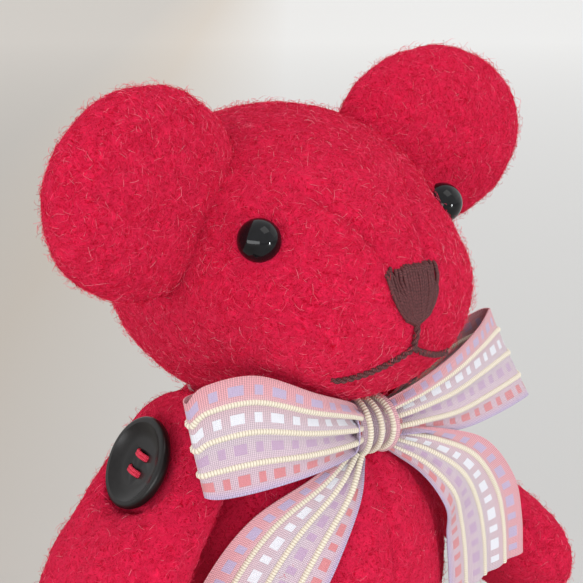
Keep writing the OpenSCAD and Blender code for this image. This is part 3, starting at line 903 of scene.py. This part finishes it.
def plies(path, count, spread, pitch):
    """Strands twisted round a path, spread millimetres from it, with one turn each pitch millimetres."""
    run = unit(np.gradient(path, axis=0))
    guide = unit(np.cross(run, (0.2, 1, 0.1)))
    other = np.cross(run, guide)
    along = distances(path) / MM
    made = []
    for ply in range(count):
        angle = (along / pitch * math.tau + ply * math.tau / count)[:, None]
        made.append(path + spread * MM * (np.cos(angle) * guide + np.sin(angle) * other))
    return made


def thread_paint(name, dark, light, shine):
    """Twisted thread: fine plies that wind round it, with painted shade between them and a painted highlight on
    them.
    """
    material, tree, shader = paint(name)
    split = node(tree, "SeparateXYZ", Vector=node(tree, "UVMap", uv_map="thread").outputs[0])
    wind = math_node(tree, "MULTIPLY_ADD", split.outputs[1], 1.7, split.outputs[0])
    ply = math_node(tree, "SINE", math_node(tree, "MULTIPLY", wind, math.tau * 2))
    fuzz = node(tree, "TexNoise", Vector=own_place(tree), Scale=2600, Detail=3.0).outputs["Fac"]
    level = math_node(tree, "MULTIPLY_ADD", ply, 0.28, math_node(tree, "MULTIPLY_ADD", fuzz, 0.7, 0.12))
    # Painted shade and highlight: the dark colour lies in the grooves between the plies and the light one on their
    # crests, on the same wave that lifts the surface.
    colour = ramp(tree, level, [(0.15, dark), (0.85, light)])
    feed(tree, shader, Base_Color=colour, Roughness=shine, Specular_IOR_Level=0.25)
    bump(tree, shader, level, 0.0002, 0.7)
    return material


# Each thread's dark colour is its painted shade between the plies, and its light colour its painted highlight on
# them.
floss_paint = thread_paint("brown_floss", (0.016, 0.004, 0.005), (0.20, 0.060, 0.064), 0.55)
red_thread_paint = thread_paint("red_thread", (0.40, 0.003, 0.02), (0.85, 0.06, 0.12), 0.6)

# %% Nose
NOSE_TOP, NOSE_TIP, NOSE_HALF = 35.4, 22.6, 7.0
SATIN_STITCHES = 21
OVER_STITCHES = (-0.82, -0.45, 0.1, 0.5, 0.86)
FLOSS_R = 0.42
random = np.random.default_rng(5)


def nose_half_width(z):
    """Half the shield's width at a height: full near the top, then round to a point."""
    down = np.clip((NOSE_TOP - z) / (NOSE_TOP - NOSE_TIP), 0, 1)
    return NOSE_HALF * (1 - 0.93 * down ** 2.4)


def lean(z):
    """The stitches drift a little to one side on the way down, as hand stitches do."""
    return -1.5 * float(np.clip((NOSE_TOP - z) / 16, 0, 1))


def down_the_nose(share, top, low, count, out, end_out):
    """Points on the muzzle down the shield, at a share of its half width, with the two ends sunk."""
    path = []
    for place, z in enumerate(np.linspace(top, low, count)):
        at_an_end = place in (0, count - 1)
        path.append(on_muzzle(share * nose_half_width(z) + lean(z), z, end_out if at_an_end else out))
    return smooth_path(path)


def make_nose():
    paths = []
    for share in np.linspace(-1, 1, SATIN_STITCHES):
        top = NOSE_TOP - 0.9 * share ** 2 + random.normal() * 0.18
        low = NOSE_TIP + 1.4 * abs(share) + abs(random.normal()) * 0.25
        crown = 0.34 + 0.22 * math.cos(share * 1.3) + random.normal() * 0.03
        paths.append(down_the_nose(share, top, low, 15, crown, -0.4))
    for share in OVER_STITCHES:
        paths.append(down_the_nose(share, NOSE_TOP - 1.2, NOSE_TIP + 2.4, 12, 0.72, 0.1))
    radii = [FLOSS_R] * SATIN_STITCHES + [0.34] * len(OVER_STITCHES)
    declare(sweep("nose_stitches", floss_paint, paths, radii), "head", "floss", "nose_embroidery")


make_nose()

# %% Mouth
MOUTH_HALF, MOUTH_TOP, MOUTH_END = 16, 18.4, 13.2


def make_mouth():
    smile = []
    for share in np.linspace(-1, 1, 25):
        z = MOUTH_END + (MOUTH_TOP - MOUTH_END) * (1 - abs(share)) ** 1.7
        smile.append(on_muzzle(share * MOUTH_HALF + lean(z), z, 0.35 if abs(share) < 0.98 else -0.3))
    drop = [on_muzzle(lean(z), z, out) for z, out in (
        (NOSE_TIP + 1.5, 0.2), (NOSE_TIP - 0.8, 0.5), (20.4, 0.45), (MOUTH_TOP - 0.4, 0.3))]
    paths = plies(smooth_path(smile, 0.25), 2, 0.34, 3.0) + plies(smooth_path(drop, 0.25), 2, 0.34, 3.0)
    mouth = sweep("mouth_stitches", floss_paint, paths, [FLOSS_R] * len(paths))
    declare(mouth, "head", "floss", "mouth_embroidery")


make_mouth()
print("nose and mouth sewn")

# %% [markdown]
# ## Buttons
# Four black four-hole buttons hold the limbs. One is turned from a disc: its top is inset twice and sunk
# into a dish with a rounded rim, its edges are bevelled, and four holes are drilled with booleans.
# The other three are copies of its mesh. Each is sewn on with two short red stitches.

# %% Buttons
button_paint = plastic_paint("black_button", (0.007, 0.006, 0.006), 0.32, 0.28)
HOLE_AT, HOLE_R = 1.9, 0.85
BUTTON_T = 3.4
BUTTON_TURN, BUTTON_LEAN = math.radians(-80), math.radians(6)


def make_button_blank():
    """The button lies in the bench's Y-Z plane, and its face looks along +X."""
    deselect()
    bpy.ops.mesh.primitive_cylinder_add(vertices=96, radius=BUTTON_R * MM, depth=BUTTON_T * MM,
                                        location=(BUTTON_T / 2 * MM, 0, 0), rotation=(0, math.pi / 2, 0))
    blank = bpy.context.object
    bpy.ops.object.transform_apply(location=True, rotation=True, scale=True)

    def choose(test):
        bpy.ops.object.mode_set(mode="OBJECT")
        for face in blank.data.polygons:
            face.select = test(face)
        bpy.ops.object.mode_set(mode="EDIT")

    bpy.ops.object.mode_set(mode="EDIT")
    bpy.ops.mesh.select_mode(type="FACE")
    bpy.ops.mesh.select_all(action="DESELECT")
    choose(lambda face: face.normal.x > 0.9)
    bpy.ops.mesh.inset(thickness=1.4 * MM)
    bpy.ops.mesh.inset(thickness=1.7 * MM)
    bpy.ops.transform.translate(value=(-1.15 * MM, 0, 0))
    bpy.ops.mesh.inset(thickness=1.6 * MM)
    bpy.ops.transform.translate(value=(-0.2 * MM, 0, 0))
    choose(lambda face: face.normal.x < -0.9)
    bpy.ops.mesh.inset(thickness=1.9 * MM)
    bpy.ops.transform.translate(value=(-0.02 * MM, 0, 0))
    bpy.ops.object.mode_set(mode="OBJECT")
    places = points(blank)
    back_rim = (places[:, 0] < 0.1 * MM) & (np.hypot(places[:, 1], places[:, 2]) > (BUTTON_R - 0.1) * MM)
    places[back_rim] += (1.5 * MM, 0, 0)
    move_points(blank, places)
    modify(blank, "BEVEL", width=0.75 * MM, segments=5, limit_method="ANGLE", angle_limit=math.radians(35))
    for y in (-HOLE_AT, HOLE_AT):
        for z in (-HOLE_AT, HOLE_AT):
            deselect()
            bpy.ops.mesh.primitive_cylinder_add(vertices=32, radius=HOLE_R * MM, depth=8 * MM,
                                                location=Vector((BUTTON_T / 2, y, z)) * MM,
                                                rotation=(0, math.pi / 2, 0))
            drill = bpy.context.object
            modify(blank, "BOOLEAN", object=drill, operation="DIFFERENCE", solver="EXACT")
            bpy.data.objects.remove(drill)
    modify(blank, "BEVEL", width=0.16 * MM, segments=2, limit_method="ANGLE", angle_limit=math.radians(50))
    return blank


def sew_button(limb_name, blank):
    place = LIMBS[limb_name]
    turned = Matrix.Rotation(BUTTON_LEAN, 4, "Z") @ Matrix.Rotation(BUTTON_TURN, 4, "X")
    seated = place @ Matrix.Translation((SEATS[limb_name] * MM, 0, 0)) @ turned
    button = new_piece(limb_name + "_button_black", blank.data.copy(), button_paint)
    button.data.transform(seated)
    if place.determinant() < 0:
        button.data.flip_normals()
    shade(button, 32)
    declare(button, limb_name, "black_plastic", limb_name + "_button")
    face = BUTTON_T - 1.35
    line = [(face - 1.8, -1), (face - 0.2, -1), (face + 0.62, -0.55), (face + 0.8, 0),
            (face + 0.62, 0.55), (face - 0.2, 1), (face - 1.8, 1)]
    paths = []
    for y in (-HOLE_AT - 0.32, -HOLE_AT + 0.32, HOLE_AT - 0.32, HOLE_AT + 0.32):
        paths.append(smooth_path([seated @ (Vector((x, y, share * HOLE_AT)) * MM) for x, share in line], 0.2))
    stitch = sweep(limb_name + "_button_thread", red_thread_paint, paths, [FLOSS_R] * len(paths))
    declare(stitch, limb_name, "thread", limb_name + "_stitch")


blank = make_button_blank()
for limb_name in LIMBS:
    sew_button(limb_name, blank)
bpy.data.objects.remove(blank)
print("four buttons sewn on")

# %% [markdown]
# ## Ribbon
# The ribbon is a woven band 25 mm wide: sheer pink and lilac ground, three raised cream cords, and rows of
# satin blocks between them. Each stretch of it is a sheet through a few listed rows, from its pink
# edge to its lavender edge, with crown and pleats added across. The cords are ribbed tubes on the sheet.

# %% Ribbon material
CORD_PLACES, CORD_RIB, CORD_R = (0.24, 0.50, 0.76), 0.62, 0.66
BLOCK_REPEAT = 8.4
BLOCK_ROWS = ((0.12, (0.48, 0.38, 0.56)), (0.37, (0.74, 0.74, 0.80)), (0.63, (0.49, 0.33, 0.48)),
              (0.885, (0.62, 0.21, 0.23)))


def band(tree, value, low, high):
    """1 where value is between low and high, else 0."""
    above = math_node(tree, "GREATER_THAN", value, low)
    return math_node(tree, "MULTIPLY", above, math_node(tree, "LESS_THAN", value, high))


def wave(tree, value, rate):
    return math_node(tree, "SINE", math_node(tree, "MULTIPLY", value, math.tau * rate))


def make_ribbon_paint():
    material, tree, shader = paint("woven_ribbon")
    split = node(tree, "SeparateXYZ", Vector=node(tree, "UVMap", uv_map="weave").outputs[0])
    across, along = split.outputs[0], split.outputs[1]
    ground = ramp(tree, across, [
        (0.0, (0.66, 0.29, 0.33)), (0.16, (0.66, 0.33, 0.37)), (0.27, (0.60, 0.42, 0.47)),
        (0.50, (0.56, 0.46, 0.52)), (0.74, (0.58, 0.44, 0.51)), (0.93, (0.57, 0.40, 0.47)),
        (1.0, (0.45, 0.36, 0.55))])
    fine = math_node(tree, "MULTIPLY", wave(tree, across, 62), 0.3)
    height = math_node(tree, "MULTIPLY_ADD", wave(tree, along, 1 / 0.42), 0.5, fine)
    # Painted shade and highlight: the ground is painted darker in the grooves of the weave and lighter on its
    # ribs, by the same height that lifts the surface.
    colour = vector_node(tree, "SCALE", ground, math_node(tree, "MULTIPLY_ADD", height, 0.42, 0.98))
    step = math_node(tree, "FRACT", math_node(tree, "DIVIDE", along, BLOCK_REPEAT))
    blocks = math_node(tree, "MAXIMUM", band(tree, step, 0.06, 0.40), band(tree, step, 0.62, 0.82))
    bright = math_node(tree, "MULTIPLY_ADD", wave(tree, across, 110), 0.08, 1.0)
    for centre, tint in BLOCK_ROWS:
        row = math_node(tree, "MULTIPLY", blocks, band(tree, across, centre - 0.045, centre + 0.045))
        mixed = node(tree, "Mix", data_type="RGBA")
        for slot, value in ((0, row), (6, colour), (7, vector_node(tree, "SCALE", tint, bright))):
            plug(tree, mixed.inputs[slot], value)
        colour = mixed.outputs[2]
        height = math_node(tree, "MULTIPLY_ADD", row, 1.6, height)
    edge = math_node(tree, "SUBTRACT", 1, band(tree, across, 0.022, 0.978))
    picot = math_node(tree, "MULTIPLY", edge, wave(tree, along, 1 / 0.8))
    height = math_node(tree, "MULTIPLY_ADD", picot, 0.8, height)
    feed(tree, shader, Base_Color=colour, Roughness=math_node(tree, "MULTIPLY_ADD", blocks, -0.15, 0.58),
         Sheen_Weight=0.3, Specular_IOR_Level=0.4)
    bump(tree, shader, height, 0.00012, 0.8)
    return material


def make_cord_paint():
    material, tree, shader = paint("cream_cord")
    split = node(tree, "SeparateXYZ", Vector=node(tree, "UVMap", uv_map="thread").outputs[0])
    ribs = wave(tree, split.outputs[1], 1 / CORD_RIB)
    # Painted shade and highlight: the cord is painted darker in the grooves between its ribs and lighter on their
    # crests.
    colour = ramp(tree, math_node(tree, "MULTIPLY_ADD", ribs, 0.5, 0.5), [
        (0.0, (0.50, 0.42, 0.32)), (0.5, (0.76, 0.69, 0.56))])
    feed(tree, shader, Base_Color=colour, Roughness=0.65, Sheen_Weight=0.3)
    bump(tree, shader, ribs, 0.0001, 0.5)
    return material


ribbon_paint = make_ribbon_paint()
cord_paint = make_cord_paint()

# %% Ribbon sheets
RIBBON_W, RIBBON_T = 25, 0.22
ACROSS = 73


def ribbon_surface(rows, closed):
    """A grid of points along and across the ribbon. A row is (pink edge, lavender edge, crown, pleats), in
    millimetres from the neck: crown and pleats are how far it bulges and how deep its folds are."""
    pink = smooth_rows([row[0] for row in rows], closed)
    lavender = smooth_rows([row[1] for row in rows], closed)
    shape = smooth_rows([(row[2], row[3], 0) for row in rows], closed)
    share = np.linspace(0, 1, ACROSS)
    grid = pink[:, None] * (1 - share)[None, :, None] + lavender[:, None] * share[None, :, None]
    middle = grid[:, ACROSS // 2]
    run = np.roll(middle, -1, 0) - np.roll(middle, 1, 0) if closed else np.gradient(middle, axis=0)
    normal = unit(np.cross(lavender - pink, run))
    folds = np.sin(share * math.tau * 3.5 + 0.7)
    lift = shape[:, 0:1] * 4 * (share * (1 - share))[None] + shape[:, 1:2] * folds[None]
    return grid + normal[:, None] * lift[:, :, None]


def smooth_rows(stops, closed, each=14):
    """Catmull-Rom rows between stops, the same number in each stretch."""
    stops = [np.array(stop, float) for stop in stops]
    if closed:
        padded = [stops[-1]] + stops + [stops[0], stops[1]]
    else:
        padded = [2 * stops[0] - stops[1]] + stops + [2 * stops[-1] - stops[-2]]
    made = []
    for p, q, r, s in zip(padded, padded[1:], padded[2:], padded[3:]):
        made += [catmull_rom(p, q, r, s, t) for t in np.arange(each) / each]
    if not closed:
        made.append(stops[-1])
    return np.array(made)


def make_ribbon(cad_node, rows, start, closed=False, squash=None):
    """A stretch of ribbon with its cords. The pattern starts start millimetres along it."""
    name = cad_node + "_ribbon"
    grid = ribbon_surface(rows, closed)
    count = len(grid)
    middle = grid[:, ACROSS // 2]
    along = start + distances(middle)
    length = along[-1] - start + (np.linalg.norm(middle[0] - middle[-1]) if closed else 0)
    places = grid.reshape(-1, 3) * MM + np.array(NECK)
    faces, uvs = [], []
    for i in range(count if closed else count - 1):
        j = (i + 1) % count
        top = start + length if j == 0 else along[j]
        for k in range(ACROSS - 1):
            low, high = i * ACROSS + k, j * ACROSS + k
            faces.append((low, low + 1, high + 1, high))
            left, right = k / (ACROSS - 1), (k + 1) / (ACROSS - 1)
            uvs += [(left, along[i]), (right, along[i]), (right, top), (left, top)]
    mesh = bpy.data.meshes.new(name)
    mesh.from_pydata(places.tolist(), [], faces)
    mesh.uv_layers.new(name="weave").data.foreach_set("uv", np.array(uvs).ravel())
    sheet = new_piece(name, mesh, ribbon_paint)
    modify(sheet, "SOLIDIFY", thickness=RIBBON_T * MM, offset=0)
    shade(sheet, 60)
    paths, radii = [], []
    for place in CORD_PLACES:
        path = finely_cut(grid[:, round(place * (ACROSS - 1))], closed)
        paths.append(path * MM + np.array(NECK))
        radii.append(CORD_R * (1 + 0.11 * np.sin(distances(path) * math.tau / CORD_RIB)))
    cords = sweep(name + "_cords", cord_paint, paths, radii, 7, closed)
    for piece, nodes in ((sheet, (cad_node,)), (cords, ())):
        declare(piece, "torso", "ribbon", *nodes)
        if squash:
            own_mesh(piece)
    print(name, "is", round(length, 1), "mm of ribbon")


def finely_cut(line, closed):
    """A cord's line, cut finely enough for its ribs."""
    if closed:
        line = np.vstack((line, line[:1]))
    gone = distances(line)
    wanted = np.linspace(0, gone[-1], max(8, int(gone[-1] / (CORD_RIB / 3))))
    made = np.stack([np.interp(wanted, gone, line[:, k]) for k in range(3)], 1)
    return made[:-1] if closed else made


# %% Bow
def aside(side):
    """A raised arm's push on a loop or a tail, towards the knot, as a joint, an axis, an anchor and a keep.
    Nothing applies the push: make_ribbon only gives such pieces their own meshes.
    """
    return {"joint": "shoulder_left" if side > 0 else "shoulder_right",
            "axis": (side * math.cos(SHOULDER_TILT), 0, math.sin(SHOULDER_TILT)),
            "anchor": tuple(at(side * 4, -33, -4)), "keep": 0.33}


LOOP_RIGHT = [
    ((-4.5, -36, 2.2), (-4.5, -35.2, -5.4), 0.0, 1.0), ((-10, -39, 6), (-10, -38.2, -6), 0.4, 0.8),
    ((-21, -39.8, 11), (-22, -39.6, -6.4), 1.3, 0.35), ((-34, -37, 17), (-33, -37.4, -7.4), 1.6, 0.1),
    ((-44.3, -33.6, 16.4), (-39.6, -33.4, -8.6), 1.0, 0.0),
    ((-47, -31.2, 12.8), (-42.4, -31.2, -8.4), 0.4, 0.0),
    ((-45, -29.2, 13.4), (-40.4, -29, -8.8), -0.6, 0.0), ((-33, -28.4, 12.5), (-32, -28.2, -8.5), -1.0, 0.1),
    ((-20, -30, 5.6), (-20, -29, -8), -0.3, 0.3), ((-8, -32, 2.4), (-8, -31.5, -6), 0.0, 0.5),
    ((-4, -33, 1), (-4, -33, -5), 0.0, 0.5)]
LOOP_LEFT = [
    ((2, -36, 2.2), (2, -35.2, -5.4), 0.0, -1.0), ((10, -38.8, 6), (11, -38.2, -6), -0.4, -0.8),
    ((20, -39.2, 10), (24, -38.6, -8.4), -1.0, -0.35), ((30, -37.2, 13.6), (39, -36, -9.4), -1.2, -0.15),
    ((37.5, -33.4, 15.4), (52, -33, -9.6), -0.7, 0.0), ((40, -31.2, 15), (56, -31, -9.8), -0.2, 0.0),
    ((38.4, -29.2, 14.2), (54, -29, -9.6), 0.6, 0.0), ((30, -28.6, 11.5), (39, -28.2, -9.4), 1.0, 0.0),
    ((19, -30, 5.4), (22, -29.3, -8.4), 0.3, -0.3), ((8, -32, 2.4), (8, -31.5, -6), 0.0, -0.5),
    ((2, -33, 1), (2, -33, -5), 0.0, -0.5)]
TAIL_RIGHT = [
    ((-8, -35.6, -5.6), (-4, -36.2, -8.6), 0.2, 0.6), ((-17.6, -35.2, -9.8), (-8, -39.4, -16.4), 0.3, 0.45),
    ((-29.4, -29, -18), (-15, -40.6, -27.5), 0.6, 0.25),
    ((-37.4, -23.8, -30.5), (-21.4, -39.2, -39.6), 0.6, 0.1),
    ((-42.4, -19.8, -45.8), (-26.4, -36.8, -53), 0.4, 0.0)]
TAIL_LEFT = [
    ((5, -34.8, -4), (4, -35, -9), 0.1, 0.6), ((16.5, -39, -6.2), (11, -39.4, -15.6), -0.4, 0.45),
    ((29, -41.5, -11.4), (15.6, -42.4, -24), -1.0, 0.2),
    ((40.4, -40.6, -23.6), (16.8, -41.8, -31), -1.0, 0.1),
    ((45, -39.6, -35), (18.2, -41.4, -39), -0.6, 0.25), ((46.8, -39, -46), (20, -40.6, -49), -0.5, 0.35)]
for name, rows, held, rests_on, start, squash in (
        ("bow_loop_right", LOOP_RIGHT, "folded", ["bow_knot"], 1.0, aside(-1)),
        ("bow_loop_left", LOOP_LEFT, "folded", ["bow_knot"], 4.0, aside(1)),
        ("bow_tail_right", TAIL_RIGHT, "hung", ["bow_knot", "body_felt"], 2.0, None),
        ("bow_tail_left", TAIL_LEFT, "hung", ["bow_knot", "body_felt"], 5.0, aside(1))):
    make_ribbon(name, rows, start, squash=squash)

KNOT_HALF = 7.0
knot_rows = []
for turn in np.arange(10) / 10 * math.tau:
    y, z = -33 - 5.6 * math.cos(turn), -2.5 + 5.9 * math.sin(turn)
    waist = KNOT_HALF * (0.9 + 0.12 * math.cos(turn))
    knot_rows.append(((waist - 1.2, y, z - 0.8), (-waist - 1.2, y, z + 0.8), 0.9, 1.25))
make_ribbon("bow_knot", knot_rows, 3.0, closed=True)
collar_rows = []
for turn in np.arange(12) / 12 * math.tau:
    out = np.array((math.sin(turn), -math.cos(turn), 0))
    collar_rows.append((out * 17.6 + (0, 0, -1.9), out * 17.6 + (0, 0, -7.4), 0.0, 1.2))
make_ribbon("ribbon_collar", collar_rows, 0.0, closed=True)

# %% [markdown]
# ## Inside pieces
# The wadding, discs, pin, washers and threads are hidden in the finished bear, but the bear can be taken
# apart, so each keeps its own shape and gets its own finish.

# %% Finishes for the inside
def grainy_paint(name, dark, light, scale, stretch, roughness, metal, height):
    material, tree, shader = paint(name)
    turned = node(tree, "Mapping", Vector=own_place(tree), Scale=stretch)
    grain = node(tree, "TexNoise", Vector=turned.outputs[0], Scale=scale, Detail=4.0).outputs["Fac"]
    colour = ramp(tree, grain, [(0.3, dark), (0.7, light)])
    feed(tree, shader, Base_Color=colour, Roughness=roughness, Metallic=metal)
    bump(tree, shader, grain, height, 0.6)
    return material


INSIDE = {slot: grainy_paint(*look) for slot, *look in (
    ("wadding", "polyester_wadding", (0.70, 0.67, 0.60), (0.92, 0.90, 0.85), 350, (1, 1, 1), 1.0, 0.0,
     0.0008),
    ("board", "pressed_board", (0.30, 0.19, 0.10), (0.50, 0.36, 0.22), 700, (1, 1, 4), 0.85, 0.0, 0.0001),
    ("steel", "bright_steel", (0.45, 0.45, 0.47), (0.68, 0.68, 0.70), 900, (1, 1, 6), 0.35, 1.0, 0.00002),
    ("washer_plastic", "white_plastic", (0.72, 0.72, 0.70), (0.85, 0.85, 0.83), 500, (1, 1, 1), 0.45, 0.0,
     0.00003),
    ("thread", "waxed_thread", (0.38, 0.004, 0.02), (0.70, 0.03, 0.08), 1500, (5, 1, 1), 0.6, 0.0, 0.0001))}
slots = {part["node"]: part["material_slot"] for part in frame["record"]["subparts"]}
for name, part in frame["nodes"].items():
    if slots[name] in INSIDE:
        part.data.materials.clear()
        part.data.materials.append(INSIDE[slots[name]])
